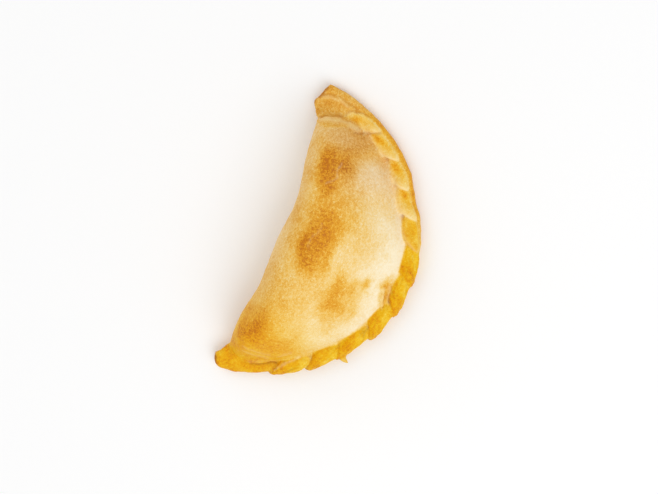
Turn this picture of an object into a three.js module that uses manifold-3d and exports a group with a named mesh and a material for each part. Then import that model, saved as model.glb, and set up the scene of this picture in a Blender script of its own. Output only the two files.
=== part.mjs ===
// A baked empanada, lying on its side as it came off the tray.
//
// One disc of wheat dough is folded over the filling into a half moon. Its two edges are
// pressed together into a rim, and the rim is folded over itself, a thumb's width at a
// time, into a rope of slanted folds. At one end the rim stays a broad flat flap, at the
// other it is pinched into a round nub. The crust is shut all round, so the whole is one
// closed solid: the pocket, the rim along its curved side, and the folds on the rim.
//
// Millimetres. +X runs from tip to tip, -Y is the crimped side, +Y the folded side and
// +Z is up. The origin is on the table, under the centre of the bounding box.

import * as THREE from "three";
import { ParametricGeometry } from "three/addons/geometries/ParametricGeometry.js";
import { mergeVertices } from "three/addons/utils/BufferGeometryUtils.js";
import Module from "manifold-3d";

const { cos, sin, sqrt, exp, sign, abs, pow, min, max, floor, PI } = Math;
const { degToRad, lerp, smoothstep } = THREE.MathUtils;

// The disc, folded on its centre line y = 0. The rim's outer edge is half an ellipse, and
// angles run along it from the flap's tip.
const RIM_REACH_X = 62.5; // from the middle to the outside of a tip
const RIM_REACH_Y = 65.5; // from the centre line to the outside of the rim

// The folded side, from inside the one end to inside the other. The filling draws it in.
const FOLD_HALF_LENGTH = 55;
const PULLED_IN_MIDDLE = 8.8;
const PULLED_IN_AT_ENDS = 2.7;
const SWAY = 0.9; // the folded side is drawn in more on the flap's half
const WAVE = 0.5; // and it waves a little
const WAVE_PHASE = 0.34;

// The pocket that holds the filling, and the flat dough beyond its two ends.
const POCKET_HEIGHT = 34;
const FLAT_HEIGHT = 4.6;
const POCKET_ENDS = 0.93; // of the half length
const CREST_POWERS = [2.4, 0.6]; // how full the crest's line is, from end to end
const CREST_SHARE = 0.33; // where the crest lies, from the folded side to the rope
const BULGE_SHARE = 0.36; // height of the folded side's widest point, of the whole
const SLOPE_POWER = 2.1; // how full the slope from the crest down to the rope is
const SLOPE_DRAPES = [0.78, 0.55]; // how much it flattens out again above the rope
const SEAM_RISE = 0.65; // on the nub's half the skin runs over the rope, by this share
const DIP = 1.4; // the skin dips beside the rope on the flap's half
const DIP_SPREAD = 3.4;
const DIP_FROM_ROPE = 4.2;
const HALVES_MEET = [62, 82].map(degToRad); // where the two halves' ways run together
const UNDERSIDE_ROUNDING = 11;
const MOST_ROUNDING = 0.4; // of a section's width
const UNDER_ROPE = 3; // the underside leaves the table this far before the rope's middle
const UNDER_ROPE_RISE = 0.6; // of the rope's middle height
const END_ROUNDING = 0.05; // of the half length
const FAN = degToRad(86); // the pocket's last section, from the middle of the rim

// The rope's round core under the folds, and its two ends.
const ROPE_LIFT = 0.5; // the rope's underside, above the table
const THICK_ROPE = { halfWidth: 2.8, halfHeight: 3.4, squareness: 1 };
const THIN_ROPE = { halfWidth: 2.7, halfHeight: 3.4, squareness: 1 };
const FLAP = { halfWidth: 7.1, halfHeight: 2.7, squareness: 0.7 };
const NUB = { halfWidth: 5.4, halfHeight: 3.2, squareness: 0.85 };
const FLAP_MIDDLE = 7.1; // inwards from the outline
const NUB_MIDDLE = 5.8;
const ROPE_THINS = [48, 88].map(degToRad);
const ROPE_THICKENS = [110, 150].map(degToRad);
const THICKER_BY = 0.6; // of the way back
const FLAP_ANGLES = [0, 9, 26].map(degToRad); // its end, and where it turns into rope
const NUB_ANGLES = [-0.6, 8, 27].map(degToRad);
const TIP_ROUNDINGS = [1.3, 3.2].map(degToRad);

// The flap's end has a corner on its inner part, and is cut back at a slant on both sides.
const FLAP_CORNER = 0.68; // place of the corner across the flap, from its outer side
const FLAP_CORNER_ANGLE = degToRad(0.5);
const FLAP_CUTS = [3.8, 8.5].map(degToRad); // how much the end is cut back on either side
const FLAP_CUT_REACH = degToRad(14);

// The folds of the crimp: the angle of each one's middle, and how far in from the outline
// it lies. A pair of values is for the folds by the flap and the folds by the nub.
const FOLD_ANGLES = [21.3, 33.7, 46, 57.2, 69.5, 83.3, 95.8, 109.4, 123.7, 136.2, 150.2].map(
  degToRad,
);
const FOLD_INSETS = [6, 6.2, 6.7, 7.2, 5.4, 3.3, 3.1, 3.6, 4.2, 4.5, 4];
const FOLD_SHIFTS = [-2.7, -2.7, -2.7, -1.7, -1, 1.6, 2, 2, 2, 2, 2]; // out from the rope's middle
const FOLD_LENGTHS = [16.8, 19.2];
const FOLD_HALF_WIDTHS = [4.9, 4.3];
const FOLD_SLANTS = [25, 18].map(degToRad);
const FOLD_LIFTS = [2.4, 3.1]; // how far the free edge stands above the core
const FOLD_ROOTING = 0.85; // how far down to the core's middle a fold is rooted
const ROOT_NARROWING = 0.35; // how much less far out it reaches there
const FOLD_TAPERS = { width: 0.58, height: 0.5 }; // powers
const FULLER_START = 0.35; // a fold is wider at its start and narrower at its end
const FOLD_WRAPS = [1.3, 0.35]; // how much of the lift counts as a fold is wrapped round the core
const EDGE_ROUNDING = 0.3; // a power, of the free edge
const PLUMP_FROM = [58, 85].map(degToRad); // the folds by the flap are dished, the others plump
const DISHES = [1.7, 0.9];
const DISH_SPREAD = 0.6;
const DISH_MIDDLE = -0.15;
const BACK_HEIGHTS = [0.5, 0.6]; // a fold's outer side, of the lift
const BACK_ROUNDINGS = [1, 0.8]; // powers
const FOLD_BENDS = [1, 3]; // how far the outer end turns over the outside of the rope
const BENDS_GROW = [40, 85].map(degToRad);
const BEND_POWER = 2.5;

// The folds are uneven: each size has a share that it varies by and a phase.
const UNEVEN = { length: [0.06, 0.5], width: [0.07, 1.9], slant: [0.06, 3.1], lift: [0.12, 4.4] };
const UNEVEN_STEP = 2.4; // radians from fold to fold

// A tail of dough sticks out where one fold ends.
const TAIL_FROM = { angle: degToRad(130.4), inward: 5 };
const TAIL_TO = { angle: degToRad(128.6), inward: -1.6 };
const TAIL_HEIGHT = 4.5;
const TAIL_HALF_SIZE = 1.6;
const TAIL_POWER = 0.7; // its thickest place is nearer its root

const POCKET_GRID = [36, 54];
const RIM_GRID = [16, 96];
const FOLD_GRID = [16, 12];
const TAIL_GRID = [8, 8];

// A point by its angle along the rim, its distance in from the outline and its height.
function onRim(angle, inward, z, target) {
  return target.set((RIM_REACH_X - inward) * cos(angle), -(RIM_REACH_Y - inward) * sin(angle), z);
}

// A size that each fold has a value of, running smoothly from fold to fold.
function byFolds(values, angle) {
  const last = FOLD_ANGLES.length - 1;
  if (angle <= FOLD_ANGLES[0]) return values[0];
  if (angle >= FOLD_ANGLES[last]) return values[last];
  const after = FOLD_ANGLES.findIndex((fold) => fold > angle);
  return lerp(
    values[after - 1],
    values[after],
    smoothstep(angle, FOLD_ANGLES[after - 1], FOLD_ANGLES[after]),
  );
}

// The core's section at an angle along the rim: the flap, the rope or the nub.
function coreAt(angle) {
  const byFlap = angle < PI / 2;
  const end = byFlap ? FLAP : NUB;
  const [, from, to] = byFlap ? FLAP_ANGLES : NUB_ANGLES;
  const roped = smoothstep(byFlap ? angle : PI - angle, from, to);
  const thin = smoothstep(angle, ...ROPE_THINS) - THICKER_BY * smoothstep(angle, ...ROPE_THICKENS);
  const sized = (size) => lerp(end[size], lerp(THICK_ROPE[size], THIN_ROPE[size], thin), roped);
  const ropeMiddle = byFolds(FOLD_INSETS, angle) + byFolds(FOLD_SHIFTS, angle);
  return {
    halfWidth: sized("halfWidth"),
    halfHeight: sized("halfHeight"),
    inward: lerp(byFlap ? FLAP_MIDDLE : NUB_MIDDLE, ropeMiddle, roped),
    z: sized("halfHeight") + ROPE_LIFT,
    squareness: sized("squareness"),
  };
}

// 1 along the body, falling to 0 over a rounded end.
const rounded = (fromEnd, rounding) =>
  fromEnd >= rounding ? 1 : sqrt(1 - (1 - max(0, fromEnd) / rounding) ** 2);

function foldedSide(along) {
  const drawnIn = lerp(PULLED_IN_MIDDLE, PULLED_IN_AT_ENDS, along * along);
  const uneven = SWAY * sin(PI * along) - WAVE * cos(3 * PI * along + WAVE_PHASE);
  return new THREE.Vector3(FOLD_HALF_LENGTH * along, -drawnIn - uneven, 0);
}

function crestHeight(along) {
  const [inside, outside] = CREST_POWERS;
  const towardsEnd = min(1, abs(along) / POCKET_ENDS);
  return lerp(FLAT_HEIGHT, POCKET_HEIGHT, pow(1 - pow(towardsEnd, inside), outside));
}

// The pocket's top, from the folded side at share 0 to the middle of the rope at share 1.
function pocketTop(share, height, width, seam, angle) {
  const fromRope = (1 - share) * width;
  const byNub = smoothstep(angle, ...HALVES_MEET);
  const dip = DIP * (1 - byNub) * min(1, share / CREST_SHARE);
  const dipped = dip * exp(-(((fromRope - DIP_FROM_ROPE) / DIP_SPREAD) ** 2));
  const side = height * BULGE_SHARE;
  if (share < CREST_SHARE) {
    const out = 1 - share / CREST_SHARE;
    return side + (height - side) * sqrt(1 - out * out) - dipped;
  }
  const down = (share - CREST_SHARE) / (1 - CREST_SHARE);
  const full = 1 - pow(down, SLOPE_POWER);
  const draped = (1 + cos(PI * down)) / 2;
  return seam + (height - seam) * lerp(full, draped, lerp(...SLOPE_DRAPES, byNub)) - dipped;
}

// The pocket's underside lies flat, is rounded up to the folded side, and runs up into
// the rope.
function pocketUnderside(share, height, width, seam) {
  const rounding = min(UNDERSIDE_ROUNDING / width, MOST_ROUNDING);
  if (share < rounding) {
    const out = 1 - share / rounding;
    return height * BULGE_SHARE * (1 - sqrt(1 - out * out));
  }
  return seam * UNDER_ROPE_RISE * max(0, 1 - ((1 - share) * width) / UNDER_ROPE);
}

// u runs round a section that crosses the pocket from fold to rope, v from tip to tip.
function pocket(u, v, target) {
  const along = sin((v - 0.5) * PI);
  const round = u * 2 * PI;
  const share = (1 - cos(round)) / 2;
  const angle = PI / 2 - along * FAN;
  const core = coreAt(angle);
  const seam = onRim(angle, core.inward, 0, new THREE.Vector3());
  const fold = foldedSide(along);
  const width = fold.distanceTo(seam);
  const height = crestHeight(along);
  const overRope = SEAM_RISE * core.halfHeight * smoothstep(angle, ...HALVES_MEET);
  const seamHeight = min(core.z + overRope, height);
  const surface =
    sin(round) >= 0
      ? pocketTop(share, height, width, seamHeight, angle)
      : pocketUnderside(share, height, width, seamHeight);
  target.lerpVectors(fold, seam, share);
  target.z = lerp(FLAT_HEIGHT / 2, surface, rounded(1 - abs(along), END_ROUNDING));
}

// u runs round the core, v along it from the flap to the nub.
function rim(u, v, target) {
  const [first, last] = [FLAP_ANGLES[0], PI - NUB_ANGLES[0]];
  const angle = lerp(first, last, (1 + sin((v - 0.5) * PI)) / 2);
  const core = coreAt(angle);
  const [byFlap, byNub] = TIP_ROUNDINGS;
  const closed = rounded(angle - first, byFlap) * rounded(last - angle, byNub);
  const squared = (part) => sign(part) * pow(abs(part), core.squareness);
  const across = squared(cos(u * 2 * PI));
  const fromCorner = (1 + across) / 2 - FLAP_CORNER;
  const cut = FLAP_CUTS[0] * max(0, -fromCorner) + FLAP_CUTS[1] * max(0, fromCorner);
  onRim(
    angle + (FLAP_CORNER_ANGLE + cut) * (1 - smoothstep(angle, first, FLAP_CUT_REACH)),
    core.inward + core.halfWidth * closed * across,
    core.z + core.halfHeight * closed * squared(sin(u * 2 * PI)),
    target,
  );
}

const uneven = (size, index) => 1 + UNEVEN[size][0] * sin(UNEVEN_STEP * index + UNEVEN[size][1]);

// The lengths along the rope's middle line at even angles, to lay the folds by.
const ROPE_STEPS = 360;
const ropeLengths = [0];
for (let step = 1, before = ropeMiddleAt(0); step <= ROPE_STEPS; step++) {
  const here = ropeMiddleAt((PI * step) / ROPE_STEPS);
  ropeLengths.push(ropeLengths[step - 1] + here.distanceTo(before));
  before = here;
}

function ropeMiddleAt(angle) {
  const core = coreAt(angle);
  return onRim(angle, core.inward, core.z, new THREE.Vector3());
}

function lengthAt(angle) {
  const step = min(floor((angle / PI) * ROPE_STEPS), ROPE_STEPS - 1);
  return lerp(ropeLengths[step], ropeLengths[step + 1], (angle / PI) * ROPE_STEPS - step);
}

function angleAt(length) {
  const after = ropeLengths.findIndex((reached) => reached > length);
  const step = after < 1 ? ROPE_STEPS : after;
  const share = (length - ropeLengths[step - 1]) / (ropeLengths[step] - ropeLengths[step - 1]);
  return (PI * (step - 1 + share)) / ROPE_STEPS;
}

// One fold, a slanted leaf laid round the core. Its inner end starts on top of the rope,
// beside the pocket, its outer end turns over the outside, and its face is pressed into a
// dish. u runs round the leaf, v from its inner end to its outer end.
function crimpFold(middle, index) {
  const progress = index / (FOLD_ANGLES.length - 1);
  const plump = smoothstep(middle, ...PLUMP_FROM);
  const halfLength = (lerp(...FOLD_LENGTHS, plump) * uneven("length", index)) / 2;
  const halfWidth = lerp(...FOLD_HALF_WIDTHS, plump) * uneven("width", index);
  const slant = lerp(...FOLD_SLANTS, progress) * uneven("slant", index);
  const lift = lerp(...FOLD_LIFTS, progress) * uneven("lift", index);
  const shift = FOLD_SHIFTS[index];
  const bend = lerp(...FOLD_BENDS, smoothstep(middle, ...BENDS_GROW));
  const dish = lerp(...DISHES, plump);
  const wrap = lerp(...FOLD_WRAPS, plump);
  const place = lengthAt(middle);

  // Its full height, from the back to the free edge, and the face under that.
  const rise = (aside) => lift * lerp(lerp(...BACK_HEIGHTS, plump), 1, (aside + 1) / 2);

  function face(along, aside, up) {
    if (up <= 0) return 0;
    const rounding = lerp(lerp(...BACK_ROUNDINGS, plump), EDGE_ROUNDING, (aside + 1) / 2);
    const offMiddle = (aside - DISH_MIDDLE) ** 2 + (along - DISH_MIDDLE) ** 2;
    return rise(aside) * pow(up, rounding) - dish * up * exp(-offMiddle / DISH_SPREAD ** 2);
  }

  return (u, v, target) => {
    const along = sin((v - 0.5) * PI);
    const aside = cos(u * 2 * PI);
    const body = max(0, 1 - along * along);
    const fuller = 1 - FULLER_START * along;
    const across = aside * pow(body, FOLD_TAPERS.width) * fuller * halfWidth;
    const up = sin(u * 2 * PI);
    const taper = pow(body, FOLD_TAPERS.height);
    const height = taper * face(along, aside, up);
    const down = max(0, -up);
    const onward = along * halfLength * cos(slant) + across * sin(slant);
    const turnedOver = bend * pow(max(0, along), BEND_POWER);
    const inward = across * cos(slant) - along * halfLength * sin(slant) - shift - turnedOver;
    const angle = angleAt(place + onward);
    const core = coreAt(angle);
    const turn = inward / (core.halfWidth + lift * wrap);
    const reach = turn > 0 ? taper * rise(aside) : height;
    onRim(
      angle,
      core.inward + (core.halfWidth + reach) * sin(turn) * (1 - ROOT_NARROWING * down),
      core.z + (core.halfHeight + height) * cos(turn) * (1 - FOLD_ROOTING * down),
      target,
    );
  };
}

function tail(u, v, target) {
  onRim(
    lerp(TAIL_FROM.angle, TAIL_TO.angle, v),
    lerp(TAIL_FROM.inward, TAIL_TO.inward, v),
    TAIL_HEIGHT,
    target,
  );
  const halfSize = TAIL_HALF_SIZE * sin(PI * pow(v, TAIL_POWER));
  target.x += halfSize * cos(u * 2 * PI);
  target.z += halfSize * sin(u * 2 * PI);
}

const wasm = await Module();
wasm.setup();

// A closed surface as a manifold-3d solid, facing outwards.
function solidOf(geometry) {
  const bare = geometry.clone();
  bare.deleteAttribute("normal");
  bare.deleteAttribute("uv");
  const merged = mergeVertices(bare, 1e-3);
  const index = merged.index.array;
  const faces = [];
  for (let i = 0; i < index.length; i += 3) {
    const [a, b, c] = [index[i], index[i + 1], index[i + 2]];
    if (a !== b && b !== c && c !== a) faces.push(a, b, c);
  }
  const build = (triangles) =>
    new wasm.Manifold(
      new wasm.Mesh({
        numProp: 3,
        vertProperties: merged.attributes.position.array,
        triVerts: new Uint32Array(triangles),
      }),
    );
  const solid = build(faces);
  return solid.volume() > 0 ? solid : build(faces.reverse());
}

const pieces = [
  new ParametricGeometry(pocket, ...POCKET_GRID),
  new ParametricGeometry(rim, ...RIM_GRID),
  ...FOLD_ANGLES.map((angle, i) => new ParametricGeometry(crimpFold(angle, i), ...FOLD_GRID)),
  new ParametricGeometry(tail, ...TAIL_GRID),
];
const crust = pieces.map(solidOf).reduce((whole, piece) => whole.add(piece));

const made = crust.getMesh();
const crustGeometry = new THREE.BufferGeometry();
crustGeometry.setAttribute("position", new THREE.BufferAttribute(made.vertProperties, 3));
crustGeometry.setIndex(new THREE.BufferAttribute(made.triVerts, 1));
crustGeometry.computeBoundingBox();
const { min: low, max: high } = crustGeometry.boundingBox;
crustGeometry.translate(-(low.x + high.x) / 2, -(low.y + high.y) / 2, -low.z);
crustGeometry.computeVertexNormals();

const bakedDough = new THREE.MeshStandardMaterial({
  color: "#e6b463",
  roughness: 0.6,
  metalness: 0,
});
const empanada = new THREE.Mesh(crustGeometry, bakedDough);
empanada.name = "empanada";

const model = new THREE.Group();
model.add(empanada);

export default model;
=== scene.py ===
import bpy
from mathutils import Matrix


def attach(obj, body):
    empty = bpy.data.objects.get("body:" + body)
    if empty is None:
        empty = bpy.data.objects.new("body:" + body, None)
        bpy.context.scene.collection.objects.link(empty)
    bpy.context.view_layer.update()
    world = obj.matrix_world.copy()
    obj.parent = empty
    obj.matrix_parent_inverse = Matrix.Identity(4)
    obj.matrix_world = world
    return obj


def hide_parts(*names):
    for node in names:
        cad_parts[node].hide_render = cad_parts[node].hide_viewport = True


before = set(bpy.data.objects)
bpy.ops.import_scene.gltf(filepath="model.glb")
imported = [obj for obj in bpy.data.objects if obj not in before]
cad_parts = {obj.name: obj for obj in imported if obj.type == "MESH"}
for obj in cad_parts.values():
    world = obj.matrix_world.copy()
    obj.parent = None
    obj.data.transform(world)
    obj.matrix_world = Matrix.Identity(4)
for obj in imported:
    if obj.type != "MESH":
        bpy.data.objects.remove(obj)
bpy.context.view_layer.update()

from math import cos, pi, radians, sin

import bmesh
import bpy
import numpy as np
from mathutils import Matrix, Vector, kdtree, noise


# ---- The rim ---------------------------------------------------------------------
# The two edges of the dough disc, pressed together and rolled into a round core all
# along the half moon. It stays a broad flat flap at one tip and is pinched into a round
# nub at the other. Metres; angles run along the rim from the flap's tip.

MM = 0.001
RIM_REACH_X = 0.0625  # from the middle to the outside of a tip
RIM_REACH_Y = 0.0655  # from the disc's centre line to the outside of the rim
ROPE_LIFT = 0.0005  # its underside lies a little off the table
THICK_ROPE = {"half_width": 0.0028, "half_height": 0.0034, "squareness": 1.0}
THIN_ROPE = {"half_width": 0.0027, "half_height": 0.0034, "squareness": 1.0}
FLAP = {"half_width": 0.0071, "half_height": 0.0027, "squareness": 0.7}
NUB = {"half_width": 0.0054, "half_height": 0.0032, "squareness": 0.85}
FLAP_MIDDLE = 0.0071  # inwards from the outline
NUB_MIDDLE = 0.0058
ROPE_THINS = (radians(48), radians(88))
ROPE_THICKENS = (radians(110), radians(150))
THICKNESS_REGAINED = 0.6  # share of what the rope had lost
# Where each end starts, where it begins to narrow to the rope, and where the rope begins.
FLAP_ANGLES = (radians(0), radians(9), radians(26))
NUB_ANGLES = (radians(-0.6), radians(8), radians(27))  # from the nub's tip
TIP_ROUNDINGS = (radians(1.3), radians(3.2))

# The flap's end has a corner on its inner part, and is cut back at a slant on both sides.
FLAP_CORNER = 0.68  # place of the corner across the flap, from its outer side
FLAP_CORNER_ANGLE = radians(0.5)
FLAP_CUTS = (radians(3.8), radians(8.5))  # how much the end is cut back towards either side
FLAP_CUT_REACH = radians(14)
NUB_CUT = radians(1.9)  # the nub's end is cut back a little on its inner side
NUB_CUT_REACH = radians(12)

# The rope's eleven folds, by the angle of each one's middle, and how far in it lies.
FOLD_ANGLES = [
    radians(degrees)
    for degrees in (21.3, 33.7, 46, 57.2, 69.5, 83.3, 95.8, 109.4, 123.7, 136.2, 150.2)
]
FOLD_INSETS = [MM * inset for inset in (6.0, 6.2, 6.7, 7.2, 5.4, 3.3, 3.1, 3.6, 4.2, 4.5, 4.0)]
# How far out from the rope's middle a fold's middle lies. It is further in by the flap.
FOLD_SHIFTS = [MM * shift for shift in (-2.7, -2.7, -2.7, -1.7, -1.0, 1.6, 2.0, 2.0, 2.0, 2.0, 2.0)]


def mix(first, second, share):
    """The first where the share is 0, the second where it is 1."""
    return first + (second - first) * share


def ease(value, start, end):
    """0 before the start and 1 after the end, running smoothly between."""
    share = np.clip((value - start) / (end - start), 0, 1)
    return share * share * (3 - 2 * share)


def on_rim(angle, inward, height):
    """A point by its angle along the rim, its distance in from the outline and its height."""
    x = (RIM_REACH_X - inward) * np.cos(angle)
    y = -(RIM_REACH_Y - inward) * np.sin(angle)
    return np.stack(np.broadcast_arrays(x, y, height), axis=-1)


def by_folds(values, angle):
    """A size that each fold has a value of, running smoothly from fold to fold."""
    place = np.interp(angle, FOLD_ANGLES, range(len(FOLD_ANGLES)))
    before = np.minimum(place.astype(int), len(FOLD_ANGLES) - 2)
    values = np.array(values)
    return mix(values[before], values[before + 1], ease(place - before, 0, 1))


def rim_core(angle):
    """The core's section at an angle: its half sizes, and how far in and up its middle lies."""
    angle = np.asarray(angle, dtype=float)
    by_flap = angle < pi / 2
    roped = np.where(
        by_flap, ease(angle, *FLAP_ANGLES[1:]), ease(pi - angle, *NUB_ANGLES[1:])
    )
    thin = ease(angle, *ROPE_THINS) - THICKNESS_REGAINED * ease(angle, *ROPE_THICKENS)
    size = {}
    for key in FLAP:
        rope = mix(THICK_ROPE[key], THIN_ROPE[key], thin)
        size[key] = mix(np.where(by_flap, FLAP[key], NUB[key]), rope, roped)
    end_middle = np.where(by_flap, FLAP_MIDDLE, NUB_MIDDLE)
    rope_middle = by_folds(FOLD_INSETS, angle) + by_folds(FOLD_SHIFTS, angle)
    size["inward"] = mix(end_middle, rope_middle, roped)
    size["middle"] = size["half_height"] + ROPE_LIFT
    return size


def rounded(from_end, rounding):
    """1 along a body, falling to 0 over its rounded end."""
    return np.sqrt(1 - (1 - np.clip(from_end / rounding, 0, 1)) ** 2)


def rim_skin(u, v):
    """The rim's surface. Its rows of points lie closest at the two ends."""
    first, last = FLAP_ANGLES[0], pi - NUB_ANGLES[0]
    angle = mix(first, last, (1 + np.sin((v - 0.5) * pi)) / 2)
    core = rim_core(angle)
    closed = rounded(angle - first, TIP_ROUNDINGS[0]) * rounded(last - angle, TIP_ROUNDINGS[1])

    def squared(part):
        return np.sign(part) * np.abs(part) ** core["squareness"]

    across = squared(np.cos(u * 2 * pi))
    from_corner = (1 + across) / 2 - FLAP_CORNER
    cut = FLAP_CUTS[0] * np.maximum(0, -from_corner) + FLAP_CUTS[1] * np.maximum(0, from_corner)
    cut_nub = NUB_CUT * np.maximum(0, across) * ease(angle, last - NUB_CUT_REACH, last)
    angle = angle + (FLAP_CORNER_ANGLE + cut) * (1 - ease(angle, first, FLAP_CUT_REACH)) - cut_nub
    inward = core["inward"] + core["half_width"] * closed * across
    height = core["middle"] + core["half_height"] * closed * squared(np.sin(u * 2 * pi))
    return on_rim(angle, inward, height)


def closed_skin(name, surface, around, lengthwise):
    """A closed mesh of a surface whose u runs round and whose v runs from end to end."""
    u, v = np.meshgrid(
        np.arange(around) / around, np.linspace(0, 1, lengthwise + 1), indexing="ij"
    )
    points = surface(u, v).reshape(-1, 3)
    row = np.arange(around * (lengthwise + 1)).reshape(around, -1)
    turned = np.roll(row, -1, axis=0)
    corners = (row[:, :-1], row[:, 1:], turned[:, 1:], turned[:, :-1])
    faces = np.stack(corners, axis=-1).reshape(-1, 4)
    skin = bpy.data.meshes.new(name)
    skin.from_pydata(points.tolist(), [], faces.tolist())
    shape = bmesh.new()
    shape.from_mesh(skin)
    bmesh.ops.remove_doubles(shape, verts=shape.verts, dist=1e-7)
    bmesh.ops.recalc_face_normals(shape, faces=shape.faces)
    shape.to_mesh(skin)
    shape.free()
    return skin


rim = closed_skin("rim", rim_skin, around=96, lengthwise=420)


# ---- The pocket ------------------------------------------------------------------
# The dough over the filling: a full, soft dome with a rounded folded side, a long slope
# down to the rope and a flat base. The dough lies flat on itself beyond its two ends.

FOLD_HALF_LENGTH = 0.055
PULLED_IN_MIDDLE = 0.0088  # how far the folded side lies from the disc's centre line
PULLED_IN_AT_ENDS = 0.0027
SWAY = 0.0009  # the folded side is drawn in more on the flap's half
WAVE = 0.0005  # and waves a little
WAVES = 3
WAVE_PHASE = 0.34
POCKET_HEIGHT = 0.034
FLAT_HEIGHT = 0.0046  # where the dough lies flat on itself
POCKET_ENDS = 0.93  # share of the half length where that begins
CREST_POWERS = (2.4, 0.6)  # how the crest comes down towards the ends
CREST_SHARE = 0.33  # place of the crest, from the folded side to the rope
BULGE_SHARE = 0.36  # height at which the folded side bulges most
SLOPE_POWER = 2.1
SLOPE_DRAPES = (0.78, 0.55)  # how far the slope hangs in, on the flap's half and the nub's
HALVES_MEET = (radians(62), radians(82))
DIP = 0.0014  # the skin dips beside the rope on the flap's half
DIP_SPREAD = 0.0034
DIP_FROM_ROPE = 0.0042
SEAM_RISE = 0.65  # on the nub's half the skin runs over the rope, up to this share of its top
UNDERSIDE_ROUNDING = 0.011
MOST_ROUNDING = 0.4  # as a share of the pocket's width there
UNDER_ROPE = 0.003
UNDER_ROPE_RISE = 0.6
END_ROUNDING = 0.05  # as a share of the half length
FAN = radians(86)  # the pocket's rows fan out as far as this on either side of its middle


def pocket_skin(u, v):
    """The pocket's surface: over the top from the folded side to the rope, and back below."""
    along = np.sin((v - 0.5) * pi)
    share = (1 - np.cos(u * 2 * pi)) / 2
    angle = pi / 2 - along * FAN
    core = rim_core(angle)
    seam = on_rim(angle, core["inward"], 0.0)
    drawn_in = mix(PULLED_IN_MIDDLE, PULLED_IN_AT_ENDS, along**2) + SWAY * np.sin(pi * along)
    drawn_in -= WAVE * np.cos(WAVES * pi * along + WAVE_PHASE)
    fold = np.stack([FOLD_HALF_LENGTH * along, -drawn_in, np.zeros_like(along)], axis=-1)
    width = np.linalg.norm(seam - fold, axis=-1)

    towards_end = np.minimum(1, np.abs(along) / POCKET_ENDS)
    crest = (1 - towards_end ** CREST_POWERS[0]) ** CREST_POWERS[1]
    height = mix(FLAT_HEIGHT, POCKET_HEIGHT, crest)
    over_rope = SEAM_RISE * ease(angle, *HALVES_MEET) * core["half_height"]
    seam_height = np.minimum(core["middle"] + over_rope, height)
    side = height * BULGE_SHARE

    out = np.clip(1 - share / CREST_SHARE, 0, 1)
    down = np.clip((share - CREST_SHARE) / (1 - CREST_SHARE), 0, 1)
    drape = mix(*SLOPE_DRAPES, ease(angle, *HALVES_MEET))
    slope = mix(1 - down**SLOPE_POWER, (1 + np.cos(pi * down)) / 2, drape)
    top = np.where(
        share < CREST_SHARE,
        side + (height - side) * np.sqrt(1 - out**2),
        seam_height + (height - seam_height) * slope,
    )
    from_rope = (1 - share) * width
    dip = DIP * (1 - ease(angle, *HALVES_MEET))
    dip *= np.clip(share / CREST_SHARE, 0, 1)
    top -= dip * np.exp(-(((from_rope - DIP_FROM_ROPE) / DIP_SPREAD) ** 2))
    rounding = np.minimum(UNDERSIDE_ROUNDING / width, MOST_ROUNDING)
    out = np.clip(1 - share / rounding, 0, 1)
    rise = np.clip(1 - (1 - share) * width / UNDER_ROPE, 0, 1)
    base = np.where(
        share < rounding,
        side * (1 - np.sqrt(1 - out**2)),
        seam_height * UNDER_ROPE_RISE * rise,
    )
    surface = np.where(np.sin(u * 2 * pi) >= 0, top, base)
    point = fold + (seam - fold) * share[..., None]
    closed = rounded(1 - np.abs(along), END_ROUNDING)
    point[..., 2] = mix(FLAT_HEIGHT / 2, surface, closed)
    return point


pocket = closed_skin("pocket", pocket_skin, around=360, lengthwise=420)


# ---- The crimp -------------------------------------------------------------------
# Eleven slanted folds of dough, turned over the rim one after another and pressed down
# with the thumb. Each has a dished face, a thick free edge that faces the next fold, and
# a back that runs into the outside of the rope. They are laid along the rope's middle.

# Each pair is of the dished folds by the flap and the plump ones, unless it says otherwise.
FOLD_LENGTHS = (0.0168, 0.0192)
FOLD_HALF_WIDTHS = (0.0049, 0.0043)
FOLD_SLANTS = (radians(25), radians(18))  # of the first fold and the last
FOLD_LIFTS = (0.0024, 0.0031)  # height of the free edge, of the first fold and the last
FOLD_WRAPS = (1.3, 0.35)  # how much its own thickness widens a fold's turn round the rope
FOLD_DISHES = (0.0017, 0.0009)
FOLD_BENDS = (0.0010, 0.0030)  # how far the outer end turns over the outside of the rope
BENDS_GROW = (radians(40), radians(85))  # from the first bend to the second
BACK_HEIGHTS = (0.5, 0.6)  # shares of the free edge's height
BACK_ROUNDINGS = (1.0, 0.8)
PLUMP_FROM = (radians(58), radians(85))  # the folds fill out between these angles
ROPE_POINTS = 361

# No two folds are alike: by what share a size differs, and where that starts.
UNEVEN = {
    "long": (0.06, 0.5),
    "half_width": (0.07, 1.9),
    "slant": (0.06, 3.1),
    "lift": (0.12, 4.4),
}
UNEVEN_STEP = 2.4  # from fold to fold


class Field:
    """A number in a node tree. It takes part in a formula as a plain number would."""

    def __init__(self, tree, socket):
        self.tree, self.socket = tree, socket

    def math(self, operation, *others):
        node = self.tree.nodes.new("ShaderNodeMath")
        node.operation = operation
        for entry, value in zip(node.inputs, (self, *others)):
            if isinstance(value, Field):
                self.tree.links.new(value.socket, entry)
            else:
                entry.default_value = value
        return Field(self.tree, node.outputs[0])

    def __add__(self, other):
        return self.math("ADD", other)

    def __mul__(self, other):
        return self.math("MULTIPLY", other)

    def __sub__(self, other):
        return self.math("SUBTRACT", other)

    def __truediv__(self, other):
        return self.math("DIVIDE", other)

    def __pow__(self, other):
        return self.math("POWER", other)

    def above(self, other):
        return self.math("GREATER_THAN", other)

    def sine(self):
        return self.math("SINE")

    def cosine(self):
        return self.math("COSINE")

    def limited(self, low, high):
        return self.math("MAXIMUM", low).math("MINIMUM", high)

    def choose(self, when_one, when_zero):
        """when_one where this number is 1, when_zero where it is 0."""
        return self * when_one - (self - 1.0) * when_zero


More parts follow.
